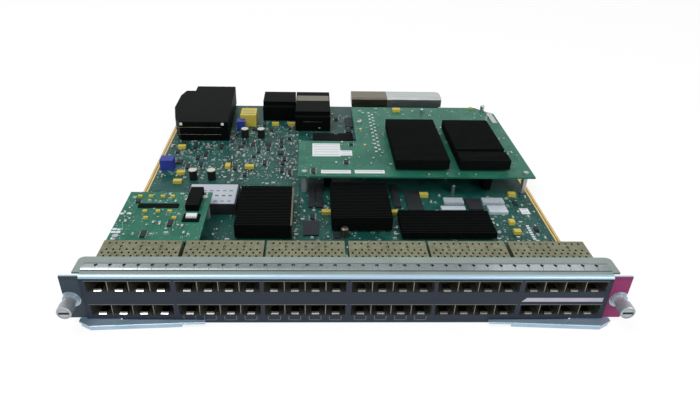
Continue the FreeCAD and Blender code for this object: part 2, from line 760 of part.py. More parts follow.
def bus_connector():
    """A long drawn metal shell with rounded ends, open at the back for the mating plug."""
    body = new_body("BusShell")
    rear = "Sheet.bus_rear"
    sketch = sketch_on(body, "YZ_Plane", BUS_LEFT)
    outline(sketch, [(f"{rear} - 23", BUS_FLOOR), (f"{rear} - 23", BUS_TOP - 2),
                     (f"{rear} - 21", BUS_TOP), (rear, BUS_TOP), (rear, BUS_FLOOR)])
    pad(body, sketch, BUS_WIDE)
    rounded = (BUS_LEFT + BUS_WIDE, dim("bus_rear"))
    fillet_edges(body, 6, lambda edge: upright_at(edge, *rounded))
    mouth = sketch_on(body, "XZ_Plane", f"-{rear}")
    rectangle(mouth, BUS_LEFT + 3, BUS_FLOOR + 2, BUS_LEFT + BUS_WIDE - 8, BUS_TOP - 2)
    pocket(body, mouth, 14, backwards=True)
    return keep(body, "bus_connector_shell")


def bus_foot():
    """The moulded foot that stands on the board and carries the shell."""
    foot = block(BUS_LEFT + 2, "Sheet.bus_rear - 20", "Sheet.board_top", BUS_WIDE - 4, 18,
                 f"{BUS_FLOOR} - Sheet.board_top")
    return keep(group([foot]), "bus_connector_body")


def upright_cans(places, radius, high, label):
    """Round capacitors standing on the board."""
    cans = [rod(x, y, "Sheet.board_top", radius, high) for x, y in places]
    return keep(group(cans), label)


front_panel()
face_film()
ear_film(-1, "ear_film_left")
ear_film(1, "ear_film_right")
gasket()
for number, centre in enumerate(group_centres, start=1):
    cage_shell(number, centre)
    cage_dividers(number, centre)
row_separators()
port_sockets()
latch_tongues()
for side, name in ((-1, "left"), (1, "right")):
    captive_screw(side, name)
    screw_spring(side, name)
    ejector_lever(side, name)
    panel_bracket(side, name)
screw_ferrules()
lever_pins()
main_board()
daughter_card("Forwarding", FORWARDING_OUTLINE, FORWARDING_POSTS, "forwarding_card")
daughter_card("Side", SIDE_OUTLINE, SIDE_POSTS, "side_card")
standoffs()
card_screws()
bracket_screws()
mezzanine_connectors()

heat_sink(-90, 94, 46, 66, dim("board_top") + CHIP_HIGH, 22, 14, "heat_sink_left")
heat_sink(-9, 106, 52, 62, dim("board_top") + CHIP_HIGH, 22, 14, "heat_sink_middle")
heat_sink(50, 94, 80, 36, dim("board_top") + CHIP_HIGH, 15, 9, "heat_sink_right")
heat_sink(53, 181, 51, 98, dim("card_top") + CHIP_HIGH, 39, 20, "card_heat_sink_left")
heat_sink(114, 181, 48, 97, dim("card_top") + CHIP_HIGH, 39, 20, "card_heat_sink_right", gap_at=203)
chips([(-85, 100, 36, 50), (-2, 115, 38, 40), (56, 98, 32, 28), (92, 98, 32, 28)],
      "Sheet.board_top", CHIP_HIGH, "port_processors")
chips([(60, 190, 38, 38), (60, 234, 38, 38), (120, 184, 34, 15), (120, 210, 34, 34), (120, 248, 34, 24)],
      "Sheet.card_top", CHIP_HIGH, "forwarding_processors")
chips([(-29, 146, 6, 44), (-22, 146, 6, 44), (50, 147, 6, 41), (-33, 100, 13, 22),
       (62, 141, 14, 36), (117, 155, 15, 7), (118, 143, 13, 12), (13, 328, 9, 27)],
      "Sheet.board_top", 1.6, "memory_chips")
chips([(97, 153, 18, 9), (133, 153, 20, 9), (92, 140, 22, 7), (135, 136, 17, 12)],
      "Sheet.board_top", 2.6, "crystal_cans")
chips([(-139, 134, 46, 38)], "Sheet.board_top", 10.5, "power_module")
power_connector()
fabric_connector("fabric_connector_left", -84, 38, 348, 28)
fabric_connector("fabric_connector_right", -45, 40, 318, 28)
bus_foot()
bus_connector()
chips([(-109, 330, 18, 22)], "Sheet.board_top", 14, "power_transformer")
chips([(-112, 318, 9, 9), (-178, 218, 13, 12)], "Sheet.board_top", 11, "film_capacitors")
upright_cans([(-101, 300), (-83, 300), (-142, 200), (-124, 200)], 4.0, 10.5, "round_capacitors")
chips([(-170, 268, 8, 5), (-160, 208, 8, 5), (-160, 190, 8, 5), (-114, 222, 5, 8), (-94, 222, 9, 5),
       (-73, 332, 8, 5), (-54, 332, 8, 5), (44, 134, 8, 5), (-17, 134, 8, 5), (76, 166, 8, 5),
       (161, 168, 7, 5), (148, 118, 5, 6), (148, 103, 6, 5)],
      "Sheet.board_top", 3.2, "tantalum_capacitors")

doc.recompute()

for item in doc.Objects:
    if {"Invalid", "Error"} & set(item.State):
        raise RuntimeError(f"{item.Name} ({item.Label}) failed: {item.State}")
for piece in parts:
    if piece.Shape.isNull() or not piece.Shape.isValid():
        raise RuntimeError(f"{piece.Label} has no valid shape")

os.makedirs("parts", exist_ok=True)
for piece in parts:
    piece.Shape.exportStep(os.path.join("parts", piece.Label + ".step"))
    print(f"{piece.Label}: {len(piece.Shape.Solids)} solids, {piece.Shape.Volume / 1000:.2f} cm3")
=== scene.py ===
import math
import random

import bpy
from mathutils import Matrix, Vector


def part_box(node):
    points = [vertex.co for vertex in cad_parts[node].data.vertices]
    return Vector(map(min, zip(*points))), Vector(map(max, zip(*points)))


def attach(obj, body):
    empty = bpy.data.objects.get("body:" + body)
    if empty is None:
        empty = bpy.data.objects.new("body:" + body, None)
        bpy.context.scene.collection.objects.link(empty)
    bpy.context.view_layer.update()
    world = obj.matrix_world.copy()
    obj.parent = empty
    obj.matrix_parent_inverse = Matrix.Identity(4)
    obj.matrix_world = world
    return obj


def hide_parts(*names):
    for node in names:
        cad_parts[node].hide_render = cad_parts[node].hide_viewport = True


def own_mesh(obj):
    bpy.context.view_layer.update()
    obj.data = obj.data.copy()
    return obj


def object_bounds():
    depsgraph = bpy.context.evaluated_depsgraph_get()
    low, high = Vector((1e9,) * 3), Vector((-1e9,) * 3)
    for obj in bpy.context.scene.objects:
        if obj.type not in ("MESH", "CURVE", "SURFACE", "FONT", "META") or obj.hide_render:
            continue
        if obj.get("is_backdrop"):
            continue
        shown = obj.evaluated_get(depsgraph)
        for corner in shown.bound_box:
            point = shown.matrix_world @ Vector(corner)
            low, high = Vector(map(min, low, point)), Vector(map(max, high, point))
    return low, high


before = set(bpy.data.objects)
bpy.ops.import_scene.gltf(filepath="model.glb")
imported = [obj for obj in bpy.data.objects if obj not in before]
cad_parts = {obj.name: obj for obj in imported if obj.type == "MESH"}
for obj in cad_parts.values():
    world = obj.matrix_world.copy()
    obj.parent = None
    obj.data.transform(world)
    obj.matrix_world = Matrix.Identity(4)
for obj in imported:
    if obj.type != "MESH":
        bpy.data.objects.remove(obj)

cad_low, cad_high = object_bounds()

# --- Camera ---
# Stands in front of the card, a little left of its middle and well above it.
# The drawing's own millimetres start at the panel's face; place() turns them into metres here.

MM = 0.001
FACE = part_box("front_panel")[0].y


def place(x, y, z):
    """A point in millimetres from the panel's face and lower edge, as metres in the frame."""
    return Vector((x * MM, y * MM + FACE, z * MM))


camera_data = bpy.data.cameras.new("camera")
camera = bpy.data.objects.new("camera", camera_data)
bpy.context.scene.collection.objects.link(camera)
bpy.context.scene.camera = camera
YAW, TILT, ROLL = math.radians(1.972), math.radians(32.193), math.radians(1.28)
ahead = Vector((math.sin(YAW) * math.cos(TILT), math.cos(YAW) * math.cos(TILT), -math.sin(TILT)))
level_right = Vector((math.cos(YAW), -math.sin(YAW), 0))
level_up = level_right.cross(ahead)
right = math.cos(ROLL) * level_right + math.sin(ROLL) * level_up
up = math.cos(ROLL) * level_up - math.sin(ROLL) * level_right
EYE = (-25.8, -319.8, 287.8)
turned = Matrix((right, up, -ahead)).transposed().to_4x4()
camera.matrix_world = Matrix.Translation(place(*EYE)) @ turned
camera_data.sensor_width = 36
camera_data.lens = 30.68
camera_data.shift_x = 0.0297
camera_data.shift_y = 0.0141
camera_data.clip_start = 0.01

# --- Floor, sky and lamps ---
# A white table under a white sky; the object is lit by the sky and two soft panels.
# What a surface is made of is wired up through Wire, one socket of a material's tree.


class Wire:
    """A socket in a shader tree. Arithmetic on wires adds Math nodes; mix blends colours."""

    def __init__(self, tree, socket=None):
        self.tree, self.socket = tree, socket

    def node(self, kind, settings=(), inputs=(), output=0):
        made = self.tree.nodes.new(kind)
        for name, value in dict(settings).items():
            if name == "stops":
                ramp = made.color_ramp.elements
                while len(ramp) < len(value):
                    ramp.new(0.5)
                for stop, (share, colour) in zip(ramp, value):
                    stop.position, stop.color = share, colour
            else:
                setattr(made, name, value)
        for name, value in dict(inputs).items():
            socket = made.inputs[name]
            if isinstance(value, Wire):
                self.tree.links.new(value.socket, socket)
            else:
                socket.default_value = value
        return Wire(self.tree, made.outputs[output] if made.outputs else None)

    def maths(self, operation, first, second=0.0):
        return self.node("ShaderNodeMath", {"operation": operation}, {0: first, 1: second})

    def __add__(self, other):
        return self.maths("ADD", self, other)

    __radd__ = __add__

    def __sub__(self, other):
        return self.maths("SUBTRACT", self, other)

    def __rsub__(self, other):
        return self.maths("SUBTRACT", other, self)

    def __mul__(self, other):
        return self.maths("MULTIPLY", self, other)

    __rmul__ = __mul__

    def __gt__(self, other):
        return self.maths("GREATER_THAN", self, other)

    def __lt__(self, other):
        return self.maths("LESS_THAN", self, other)

    def mix(self, low, high):
        """The colour low where this wire is 0 and high where it is 1."""
        return self.node("ShaderNodeMix", {"data_type": "RGBA"}, {0: self, 6: low, 7: high}, output=2)


def shade(red, green, blue):
    """A colour written as it shows on a screen, 0 to 255, turned into light."""
    def light(value):
        value /= 255
        return value / 12.92 if value <= 0.04045 else ((value + 0.055) / 1.055) ** 2.4
    return (light(red), light(green), light(blue), 1.0)


def new_tree(name):
    material = bpy.data.materials.new(name)
    material.use_nodes = True
    material.node_tree.nodes.clear()
    return material, Wire(material.node_tree)


def stage_light(root, dim_strength):
    """1 for rays that see the backdrop itself, and dim_strength for rays that light the object."""
    path = root.tree.nodes.new("ShaderNodeLightPath")
    seen = sum(Wire(root.tree, path.outputs[name]) for name in (
        "Is Camera Ray", "Is Glossy Ray", "Is Transmission Ray"))
    return seen, (seen > 0.5) * (1.0 - dim_strength) + dim_strength


SKY_LIGHT = 0.62
world = bpy.data.worlds.new("sky")
bpy.context.scene.world = world
world.use_nodes = True
world.node_tree.nodes.clear()
sky = Wire(world.node_tree)
sky_shader = sky.node("ShaderNodeBackground", {}, {
    "Color": (1, 1, 1, 1), "Strength": stage_light(sky, SKY_LIGHT)[1]})
sky.node("ShaderNodeOutputWorld", {}, {"Surface": sky_shader})

floor_mesh = bpy.data.meshes.new("floor")
FLOOR_HALF = 6.0
floor_mesh.from_pydata([(-FLOOR_HALF, -FLOOR_HALF, 0), (FLOOR_HALF, -FLOOR_HALF, 0),
                        (FLOOR_HALF, FLOOR_HALF, 0), (-FLOOR_HALF, FLOOR_HALF, 0)], [], [(0, 1, 2, 3)])
floor = bpy.data.objects.new("floor", floor_mesh)
floor.location.z = cad_low.z - 0.0002
bpy.context.scene.collection.objects.link(floor)
floor_material, floor_root = new_tree("white_table")
floor_seen = stage_light(floor_root, 0)[0] > 0.5
FLOOR_GLOW_SHARE = 0.8
floor_cloth = floor_root.node("ShaderNodeBsdfDiffuse", {}, {"Color": (0.88, 0.88, 0.88, 1)})
floor_glow = floor_root.node("ShaderNodeEmission", {}, {"Color": (1, 1, 1, 1), "Strength": 1.06})
floor_mix = floor_root.node("ShaderNodeMixShader", {}, {
    0: floor_seen * FLOOR_GLOW_SHARE, 1: floor_cloth, 2: floor_glow})
floor_root.node("ShaderNodeOutputMaterial", {}, {"Surface": floor_mix})
floor_mesh.materials.append(floor_material)
floor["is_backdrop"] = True


def lamp(name, where, aim, wide, power):
    light = bpy.data.lights.new(name, "AREA")
    light.shape, light.size, light.energy = "DISK", wide, power
    item = bpy.data.objects.new(name, light)
    bpy.context.scene.collection.objects.link(item)
    item.location = where
    item.rotation_mode = "QUATERNION"
    item.rotation_quaternion = (Vector(aim) - Vector(where)).to_track_quat("-Z", "Y")


lamp("key", (-0.7, -0.5, 1.5), (0, 0, 0), 0.9, 11)
lamp("fill", (0.9, -1.1, 0.7), (0, -0.1, 0), 0.8, 5)

bpy.context.scene.view_settings.view_transform = "Standard"

# --- Front panel ---
# Folded zinc-plated steel: the ported web, the rounded top bend, the flange and two ears.
# The bend and the flange show as bare metal, with a painted highlight along the bend; the web carries a dark
# printed film.


def finish(root, material, color, roughness, metallic=0.0, height=None, depth=0.0, **fixed):
    """Wire a Principled shader; height is a wire for its bumps, depth their size in metres."""
    sockets = {"Base Color": color, "Roughness": roughness, "Metallic": metallic}
    if height is not None:
        sockets["Normal"] = root.node("ShaderNodeBump", {}, {
            "Strength": 1.0, "Distance": depth, "Height": height})
    sockets.update({name.replace("_", " "): value for name, value in fixed.items()})
    shader = root.node("ShaderNodeBsdfPrincipled", {}, sockets)
    root.node("ShaderNodeOutputMaterial", {}, {"Surface": shader})
    return material


def spot(root, scale=(1, 1, 1)):
    """Where a point is on its piece, in metres, stretched by scale."""
    plain = root.node("ShaderNodeTexCoord", {}, {}, output=3)
    return root.node("ShaderNodeVectorMath", {"operation": "MULTIPLY"}, {0: plain, 1: scale})


def noise(root, size, stretch=(1, 1, 1), detail=3.0):
    """Cloudy variation, 0 to 1, with features about size metres across."""
    return root.node("ShaderNodeTexNoise", {}, {
        "Vector": spot(root, stretch), "Scale": 1 / size, "Detail": detail})


ROLLED = (0.05, 1, 1)
EVEN = (1, 1, 1)
FINE_BUMP = 0.000004


def plated(name, light, dark, roughness=0.3, grain=ROLLED, size=0.0008, metal=1.0):
    """Plated sheet metal with a rolled grain along X and cloudy tarnish."""
    material, root = new_tree(name)
    rolled = noise(root, size, grain)
    cloud = noise(root, 0.02)
    return finish(root, material, (rolled * 0.5 + cloud * 0.5).mix(dark, light),
                  rolled * 0.2 + (roughness - 0.1), metal, rolled, FINE_BUMP)


def dress(node, material):
    """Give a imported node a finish; its shape stays as it is."""
    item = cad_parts[node]
    if not item.material_slots:
        item.data.materials.append(material)
    for number in range(len(item.material_slots)):
        item.material_slots[number].material = material


def position(root, axis):
    """Where a point of a fixed piece lies along axis 0, 1 or 2, in drawing millimetres."""
    part = root.node("ShaderNodeSeparateXYZ", {}, {0: spot(root)}, output=axis)
    return (part - (FACE if axis == 1 else 0.0)) * (1 / MM)


BEND_HIGHLIGHT_BACK = 2.4
panel_plate, panel_root = new_tree("zinc_plate")
panel_grain = noise(panel_root, 0.0008, ROLLED)
panel_cloud = noise(panel_root, 0.02)
panel_flat = (panel_grain * 0.4 + panel_cloud * 0.6).mix(shade(121, 133, 129), shade(161, 173, 168))
# The strip just behind the face, along the rounded bend, is painted pale blue: a painted highlight.
panel_tone_with_bend_highlight = (position(panel_root, 1) < BEND_HIGHLIGHT_BACK).mix(panel_flat, shade(163, 190, 208))
finish(panel_root, panel_plate, panel_tone_with_bend_highlight, panel_grain * 0.2 + 0.28, 1.0, panel_grain, FINE_BUMP)
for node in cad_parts:
    if node.startswith("front_panel"):
        dress(node, panel_plate)
bracket_plate = plated("bracket_plate", shade(170, 176, 178), shade(120, 126, 128), 0.4)
for node in ("panel_bracket_left", "panel_bracket_right"):
    dress(node, bracket_plate)


# --- Face and ear films ---
# Printed polyester film stuck to the web and the ears: dark blue-grey, magenta at the right ear.
# A fine leather-like grain is embossed in it; a band along its top, under the bend, is painted darker as
# shade.

FILM_SHADE_FROM = 37.3


def film(name, light, dark, edge):
    material, root = new_tree(name)
    grain = noise(root, 0.0006, detail=4.0)
    rub = noise(root, 0.03)
    tone = (grain * 0.35 + rub * 0.65).mix(dark, light)
    # Near its top the film takes the edge colour, darker than the rest: painted shade under the bend.
    return finish(root, material, (position(root, 2) > FILM_SHADE_FROM).mix(tone, edge), grain * 0.2 + 0.45,
                  0.0, grain, 0.00002, Specular_IOR_Level=0.22)


# The last colour given to each film is its painted shade along the top, under the bend.
dress("face_film", film("dark_film", shade(50, 57, 70), shade(31, 37, 48), shade(30, 42, 48)))
dress("ear_film_left", film("ear_film_dark", shade(64, 78, 88), shade(44, 55, 64), shade(50, 60, 68)))
dress("ear_film_right", film("ear_film_magenta", shade(152, 60, 108), shade(124, 40, 84),
                             shade(128, 46, 90)))


# --- Pale lines on the face ---
# Painted highlights on the film along the top edge of each group's ports and, U-shaped, for the
# springs below the lower middle ports; and a grey band, left blank, between the rows at the right-hand end.


def moulded(name, light, dark, roughness=0.5, gloss=0.12):
    """Filled plastic, ink or paper: fine grain and slow changes of tone, with little shine."""
    material, root = new_tree(name)
    fine = noise(root, 0.0004, detail=5.0)
    slow = noise(root, 0.012)
    return finish(root, material, (fine * 0.4 + slow * 0.6).mix(dark, light),
                  fine * 0.25 + (roughness - 0.12), 0.0, fine, 0.000012, Specular_IOR_Level=gloss)


class Stock:
    """Gathers the points and faces of one piece; kind picks the finish of a face."""

    def __init__(self):
        self.points, self.faces, self.kinds = [], [], []

    def add(self, points, faces, kind=0):
        start = len(self.points)
        self.points += [place(*point) for point in points]
        self.faces += [tuple(start + index for index in face) for face in faces]
        self.kinds += [kind] * len(faces)

    def box(self, low, high, kind=0):
        (x0, y0, z0), (x1, y1, z1) = low, high
        points = [(x, y, z) for z in (z0, z1) for x, y in ((x0, y0), (x1, y0), (x1, y1), (x0, y1))]
        faces = [(3, 2, 1, 0), (4, 5, 6, 7), (0, 1, 5, 4), (1, 2, 6, 5), (2, 3, 7, 6), (3, 0, 4, 7)]
        self.add(points, faces, kind)

    def loft(self, rings, kind=0, closed=False):
        """A skin over rings of points with the same count, capped at its ends unless closed."""
        count = len(rings[0])
        points = [point for ring in rings for point in ring]
        faces = []
        for number in range(len(rings) - (0 if closed else 1)):
            low, high = number * count, (number + 1) % len(rings) * count
            faces += [(low + i, low + (i + 1) % count, high + (i + 1) % count, high + i)
                      for i in range(count)]
        if not closed:
            last = (len(rings) - 1) * count
            faces += [tuple(range(count))[::-1], tuple(range(last, last + count))]
        self.add(points, faces, kind)

    def can(self, x, y, profile, sides=20, kind=0):
        """A piece turned on an upright axis, from its half-profile of (radius, z)."""
        rings = []
        for radius, z in profile:
            rings.append([(x + radius * math.cos(2 * math.pi * i / sides),
                           y + radius * math.sin(2 * math.pi * i / sides), z) for i in range(sides)])
        self.loft(rings, kind)

    def make(self, name, materials, body="card", nodes=(), bevel=None, smooth=False, slot=None):
        """Turn the stock into a piece that rides on a body and stands for the given nodes."""
        mesh = bpy.data.meshes.new(name)
        mesh.from_pydata(self.points, [], self.faces)
        for material in materials:
            mesh.materials.append(material)
        mesh.polygons.foreach_set("material_index", self.kinds)
        mesh.polygons.foreach_set("use_smooth", [smooth] * len(self.faces))
        mesh.update()
        piece = bpy.data.objects.new(name, mesh)
        bpy.context.scene.collection.objects.link(piece)
        if bevel:
            rounding = piece.modifiers.new("rounding", "BEVEL")
            rounding.width, rounding.segments = bevel * MM, 1
            rounding.limit_method, rounding.angle_limit = "ANGLE", math.radians(40)
        if smooth:
            mesh.set_sharp_from_angle(angle=math.radians(35))
        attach(piece, body)
        if nodes:
            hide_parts(*nodes)
        return piece


def span(node):
    """A node's low and high corners in drawing millimetres."""
    return [(corner.x / MM, (corner.y - FACE) / MM, corner.z / MM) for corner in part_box(node)]


frame_glint = moulded("frame_glint", shade(126, 132, 132), shade(88, 94, 96))
band_ink = moulded("band_ink", shade(196, 192, 206), shade(158, 156, 172), 0.35, 0.4)
PORT_PITCH = 14.25
ROW_PITCH = 20.4
INK = 0.03
face_front = span("face_film")[0][1]
groups = [span(f"cage_shell_{number}") for number in range(1, 7)]
GLINT_FOOT = 16.6
GLINT_HIGH = 0.5
GLINT_PAST = 0.6
MARK_LOW, MARK_HIGH, MARK_HALF = 2.7, 6.6, 3.9
glints_and_band = Stock()
# Each line over a row of ports is a painted highlight where the top edge of its cage frame catches the light.
for (x0, _, _), (x1, _, _) in groups:
    for row in (0, 1):
        over = GLINT_FOOT + row * ROW_PITCH
        glints_and_band.box((x0 - GLINT_PAST, face_front - INK, over),
                     (x1 + GLINT_PAST, face_front, over + GLINT_HIGH))
# The U-shaped marks are painted highlights for the springs below these ports.
for (x0, _, _), _ in groups[1:4]:
    for column in range(4):
        x = x0 + (column + 0.5) * PORT_PITCH
        inside, outside, lip = MARK_HALF, MARK_HALF + GLINT_HIGH, MARK_LOW + GLINT_HIGH
        for low, high in (((x - outside, lip), (x - inside, MARK_HIGH)),
                          ((x + inside, lip), (x + outside, MARK_HIGH)),
                          ((x - inside, MARK_LOW), (x + inside, lip))):
            glints_and_band.box((low[0], face_front - INK, low[1]), (high[0], face_front, high[1]))
(last_left, _, _), (last_right, _, _) = groups[5]
BAND_LOW, BAND_HIGH = 19.5, 22.9
band = [(last_left + BAND_HIGH - BAND_LOW, BAND_HIGH), (last_left, BAND_LOW), (last_right, BAND_LOW),
        (last_right, BAND_HIGH)]
glints_and_band.add([(x, y, z) for y in (face_front - INK, face_front) for x, z in band],
             [(0, 1, 2, 3), (7, 6, 5, 4), (4, 5, 1, 0), (5, 6, 2, 1), (6, 7, 3, 2), (7, 4, 0, 3)], 1)
glints_and_band.make("face_glints_and_band", [frame_glint, band_ink], slot="face_film")

# --- Port cages ---
# Six folded, nickel-plated shells, open at the front, with vent holes and slots in their tops.
# Each covers two rows of four ports; its roof has staggered rows of holes, with slots over the
# dividers.

cage_plate, cage_root = new_tree("cage_plate")
cage_speckle = noise(cage_root, 0.003, detail=2.0)
cage_cloud = noise(cage_root, 0.016)
cage_tone = (cage_speckle * 0.65 + cage_cloud * 0.35).mix(shade(68, 68, 48), shade(160, 162, 136))
finish(cage_root, cage_plate, cage_tone, cage_speckle * 0.25 + 0.26, 1.0, cage_speckle, 0.00002)
# The same nickel plating in a tone of its own for the walls, floors and dividers in the ports, set for the
# light inside them: painted light.
inner_lit_plate = plated("cage_inner_lit_plate", shade(176, 174, 156), shade(112, 110, 98), 0.5)
SHEET = 0.4
CELLS_ACROSS = 24
HOLE_STEPS = 12
SMALL_HOLE = (0.82, 1.15)
LONG_HOLE = (0.98, 1.75)
ROOF_LINES = (26.0, 30.4, 34.4, 38.4, 42.0, 47.0)
SLOTTED = (1, 4)
HOLED = (1, 2, 3, 5)
FLOOR_DEEP = 32.5


def punched_cell(stock, x0, y0, x1, y1, low, high, reach):
    """A square of sheet with a hole; reach gives the hole's half-size along x and y."""
    middle = ((x0 + x1) / 2, (y0 + y1) / 2)
    rim = [(middle[0] + reach[0] * math.cos(2 * math.pi * (i - HOLE_STEPS / 8) / HOLE_STEPS),
            middle[1] + reach[1] * math.sin(2 * math.pi * (i - HOLE_STEPS / 8) / HOLE_STEPS))
           for i in range(HOLE_STEPS)]
    corners = [(x1, y0), (x1, y1), (x0, y1), (x0, y0)]
    flat = corners + rim
    quarter = HOLE_STEPS // 4
    points = [(x, y, z) for z in (high, low) for x, y in flat]
    under = len(flat)
    faces = []
    for side in range(4):
        arc = [4 + (side * quarter + i) % HOLE_STEPS for i in range(quarter + 1)]
        top = [side, (side + 1) % 4] + arc[::-1]
        faces.append(tuple(top))
        faces.append(tuple(under + index for index in top[::-1]))
    for i in range(HOLE_STEPS):
        after = (i + 1) % HOLE_STEPS
        faces.append((4 + i, 4 + after, under + 4 + after, under + 4 + i))
    stock.add(points, faces)


for number in range(1, 7):
    node = f"cage_shell_{number}"
    (x0, y0, z0), (x1, y1, z1) = span(node)
    shell = Stock()
    inner = z1 - SHEET
    cell_wide = (x1 - x0) / CELLS_ACROSS
    lines = [y0, *ROOF_LINES, y1]
    for line, (front, back) in enumerate(zip(lines, lines[1:])):
        for cell in range(CELLS_ACROSS + 1):
            left = max(x0, x0 + (cell - 0.5) * cell_wide)
            edge = min(x1, x0 + (cell + 0.5) * cell_wide)
            corner = (left, front, edge, back, inner, z1)
            if line in SLOTTED and cell % 6 == 0 and 0 < cell < CELLS_ACROSS:
                punched_cell(shell, *corner, LONG_HOLE)
            elif line in HOLED and (cell + line) % 2 and 0 < cell < CELLS_ACROSS:
                punched_cell(shell, *corner, SMALL_HOLE)
            else:
                shell.box((left, front, inner), (edge, back, z1))
    shell.box((x0, y0, z0), (x0 + SHEET, y1, inner), 1)
    shell.box((x1 - SHEET, y0, z0), (x1, y1, inner), 1)
    shell.box((x0 + SHEET, y1 - SHEET, z0), (x1 - SHEET, y1, inner))
    shell.box((x0 + SHEET, y0, z0), (x1 - SHEET, FLOOR_DEEP, z0 + SHEET), 1)
    shell.make(f"cage_skin_{number}", [cage_plate, inner_lit_plate], nodes=[node], slot="cage_metal")
    dress(f"cage_dividers_{number}", inner_lit_plate)
dress("row_separators", inner_lit_plate)

# --- Sockets and tongues ---
# Black moulded edge-card sockets at the back of the ports, and sprung tongues at their mouths with a painted
# highlight on their front tips and painted shade behind.


black_moulding = moulded("black_moulding", shade(12, 15, 15), shade(4, 6, 6), 0.55, 0.03)
dress("port_sockets", black_moulding)
tongue_lit_plate, tongue_root = new_tree("tongue_lit_plate")
tongue_cloud = noise(tongue_root, 0.02)
TONGUE_LIT_TIP = 1.2
FIRST_GROUP_END = -118.0
# The front tip of each tongue is painted as a highlight and the part behind it dark as shade; the tips in the
# first group are painted whitest.
tongue_lit_front = position(tongue_root, 1) < TONGUE_LIT_TIP
tongue_glint_left = position(tongue_root, 0) < FIRST_GROUP_END
tongue_highlight = tongue_glint_left.mix(tongue_cloud.mix(shade(110, 108, 104), shade(200, 200, 198)),
                                shade(244, 246, 248))
tongue_lit_tone = tongue_lit_front.mix(shade(84, 80, 68), tongue_highlight)
finish(tongue_root, tongue_lit_plate, tongue_lit_tone, tongue_cloud * 0.2 + 0.3, 1.0, tongue_cloud, 0.00001)
dress("latch_tongues", tongue_lit_plate)

# --- Gasket strip ---
# A springy plated finger strip, clipped along the top flange: arched fingers between two rails.

gasket_plate, gasket_root = new_tree("gasket_plate")
gasket_grain = noise(gasket_root, 0.001, (1, 0.1, 1))
gasket_mottle = gasket_grain * 0.5 + noise(gasket_root, 0.05) * 0.5
STRIP_HALF = 200.0
# How bright the painted glare on the strip is at shares of the way along it.
GLARE_ALONG_STRIP = ((0.10, 0.62), (0.17, 0.1), (0.70, 0.1), (0.77, 0.95), (0.90, 0.95), (0.95, 0.3))
gasket_glare = gasket_root.node("ShaderNodeValToRGB", {
    "stops": [(share, (glare, glare, glare, 1)) for share, glare in GLARE_ALONG_STRIP]}, {
    0: (position(gasket_root, 0) + STRIP_HALF) * (0.5 / STRIP_HALF)})
# Where the glare is high the strip takes the bright pair of tones: a painted reflection that varies along the
# strip.
gasket_tone = gasket_glare.mix(gasket_mottle.mix(shade(82, 92, 92), shade(148, 158, 159)),
                               gasket_mottle.mix(shade(140, 148, 152), shade(208, 214, 220)))
finish(gasket_root, gasket_plate, gasket_tone, gasket_grain * 0.2 + 0.24, 1.0, gasket_grain, FINE_BUMP)
# The rails are painted darker than the fingers: painted shade along the strip's front and rear edges.
rail_shade_plate = plated("rail_shade_plate", shade(112, 124, 124), shade(74, 86, 88), 0.45)
(gx0, gy0, gz0), (gx1, gy1, gz1) = span("emi_gasket")
FINGERS = 38
finger_pitch = (gx1 - gx0) / FINGERS
SLIT = 0.12
HOLE_HALF = 1.5
HOLE_SHARE = 0.27
HOLE_AT = 0.6
ARCH_STEPS = 20
ARCH_INSET = 0.9
ARCH_ROUND = 0.7
RAIL_WIDE = 1.0
GASKET_SHEET = 0.2
arch_rise = gz1 - gz0 - GASKET_SHEET
strip = Stock()
for index in range(FINGERS):
    left = gx0 + index * finger_pitch
    rings = []
    for step in range(ARCH_STEPS + 1):
        share = step / ARCH_STEPS
        y = gy0 + ARCH_INSET + (gy1 - gy0 - 2 * ARCH_INSET) * share
        z = gz0 + arch_rise * math.sin(math.pi * share) ** ARCH_ROUND
        inset = SLIT + HOLE_HALF * max(0.0, 1 - abs(share - HOLE_AT) / HOLE_SHARE)
        low, high = left + inset, left + finger_pitch - inset
        rings.append([(low, y, z), (high, y, z), (high, y, z + GASKET_SHEET), (low, y, z + GASKET_SHEET)])
    strip.loft(rings)
for low, high in ((gy0, gy0 + RAIL_WIDE), (gy1 - RAIL_WIDE, gy1)):
    strip.box((gx0, low, gz0), (gx1, high, gz0 + GASKET_SHEET), 1)
strip.make("gasket_fingers", [gasket_plate, rail_shade_plate], nodes=["emi_gasket"], smooth=True,
           slot="gasket_metal")

# --- Captive screws ---
# Turned and nickel-plated: a knurled, slotted knob with a hollow skirt, the undercut shank, its
# collar and the stud. Each rides on its own screw body; the ferrules are set in the ears.

screw_plate = plated("screw_plate", shade(196, 202, 208), shade(140, 146, 152), 0.34, EVEN, metal=0.6)
slot_shade_plate = plated("slot_shade_plate", shade(70, 74, 78), shade(34, 36, 38), 0.5, EVEN)
KNURLS = 36
KNURL_DEEP = 0.24
KNOB_WALL = 3.0
KNOB_LONG = 8.5
SLOT_HALF = 0.95
DISH_RADIUS = 3.9
DISH_DEEP = 0.7
BORE, SHANK, COLLAR, STUD = 4.6, 1.4, 2.15, 2.0
COLLAR_FRONT, COLLAR_BACK, STUD_START = 1.2, 2.3, 4.0
PAD_GAP = 0.3
PAD_STEPS = 12


def turned_ring(x, z, radius, y, sides, knurl=0.0):
    """Points round an axis along Y; every second one is sunk by knurl."""
    ring = []
    for i in range(sides):
        angle = 2 * math.pi * i / sides
        reach = radius - (knurl if i % 2 else 0)
        ring.append((x + reach * math.cos(angle), y, z - reach * math.sin(angle)))
    return ring


